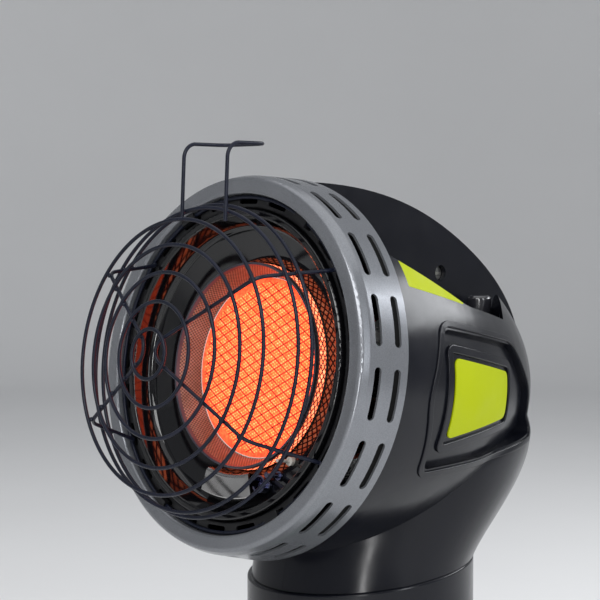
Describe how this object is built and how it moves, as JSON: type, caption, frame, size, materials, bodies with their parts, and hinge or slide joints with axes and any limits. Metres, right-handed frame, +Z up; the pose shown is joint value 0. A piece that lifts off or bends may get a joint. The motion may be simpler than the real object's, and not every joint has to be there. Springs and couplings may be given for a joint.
{
  "type": "portable gas heater",
  "caption": "Free-standing radiant gas heater: a wire-guarded round burner in a bulb-shaped housing with a carrying spine, screwed onto a fuel cylinder that stands in a wide round foot.",
  "frame": {"origin": "centre of the foot's underside, on the axis of the foot, the cylinder and the housing's collar", "axes": "+Z up; the burner faces -Y and looks slightly upward; +X is on the right of someone who looks at the burner"},
  "size_m": [0.192, 0.2593, 0.3885],
  "materials": {
    "bezel": "satin silver-grey paint on pressed steel",
    "guard": "semi-gloss dark coating",
    "black_sheet": "semi-gloss black enamel",
    "enamel": "glossy black enamel",
    "burner_steel": "heat-stained steel",
    "tile": "glowing perforated ceramic",
    "gasket": "ceramic fibre",
    "plain_steel": "drawn steel",
    "brass": "turned",
    "bright_steel": "bright sheet",
    "porcelain": "white glazed ceramic",
    "aluminium": "drawn tube",
    "copper": "drawn tube",
    "lead": "silicone sleeve",
    "black_plastic": "moulded",
    "housing": "glossy near-black",
    "zinc_steel": "zinc plated",
    "green_label": "printed yellow-green",
    "dark_button": "moulded, polished",
    "red_button": "moulded",
    "seal": "moulded",
    "cylinder_paint": "gloss paint on drawn steel",
    "foot_plastic": "moulded",
    "rubber_pad": "moulded"
  },
  "bodies": {
    "stand": {"base_foot": "foot_plastic", "foot_ring": "rubber_pad"},
    "cylinder": {"fuel_cylinder": "cylinder_paint", "cylinder_valve": "brass"},
    "seal": {"inlet_seal": "seal"},
    "head": {"bezel_ring": "bezel", "guard_rings": "guard", "guard_spokes": "guard", "guard_hook": "guard", "flange_ring": "black_sheet", "guard_clips": "black_sheet", "reflector_bowl": "enamel", "burner_cup": "burner_steel", "burner_tile": "tile", "tile_gasket": "gasket", "burner_plenum": "plain_steel", "burner_bracket": "plain_steel", "mixing_tube": "plain_steel", "gas_jet": "brass", "pilot_shield": "bright_steel", "pilot_burner": "bright_steel", "pilot_bracket": "bright_steel", "thermocouple": "bright_steel", "spark_electrode": "porcelain", "pilot_pipe": "aluminium", "thermocouple_lead": "copper", "igniter_lead": "lead", "valve_block": "aluminium", "regulator_body": "aluminium", "regulator_cover": "aluminium", "regulator_plate": "plain_steel", "inlet_nut": "brass", "tip_over_switch": "black_plastic", "piezo_igniter": "black_plastic", "shutoff_switch": "black_plastic", "housing_left": "housing", "housing_right": "housing", "housing_screws": "zinc_steel", "label_plate_left": "green_label", "label_plate_right": "green_label", "accent_left": "green_label", "accent_right": "green_label"},
    "start": {"start_button": "dark_button"},
    "off": {"off_button": "red_button"}
  },
  "joints": [
    {"name": "cylinder_lift", "type": "slide", "parent": "stand", "child": "cylinder", "axis": [0, 0, 1], "range_m": [0, 0.06]},
    {"name": "coupling_rise", "type": "slide", "parent": "cylinder", "child": "seal", "axis": [0, 0, 1], "range_m": [0, 0.00635]},
    {"name": "head_unscrew", "type": "hinge", "parent": "seal", "child": "head", "pos_m": [0, 0, 0.2], "axis": [0, 0, 1], "range_deg": [0, 1800]},
    {"name": "start_press", "type": "slide", "parent": "head", "child": "start", "axis": [0, 0, -1], "range_m": [0, 0.002], "stiffness_N_per_m": 2500, "springref_m": -0.001},
    {"name": "off_press", "type": "slide", "parent": "head", "child": "off", "axis": [0, 0, -1], "range_m": [0, 0.002], "stiffness_N_per_m": 1500, "springref_m": -0.001}
  ],
  "couplings": [
    {"joint": "coupling_rise", "follows": "head_unscrew", "m_per_rad": 0.00020213}
  ]
}
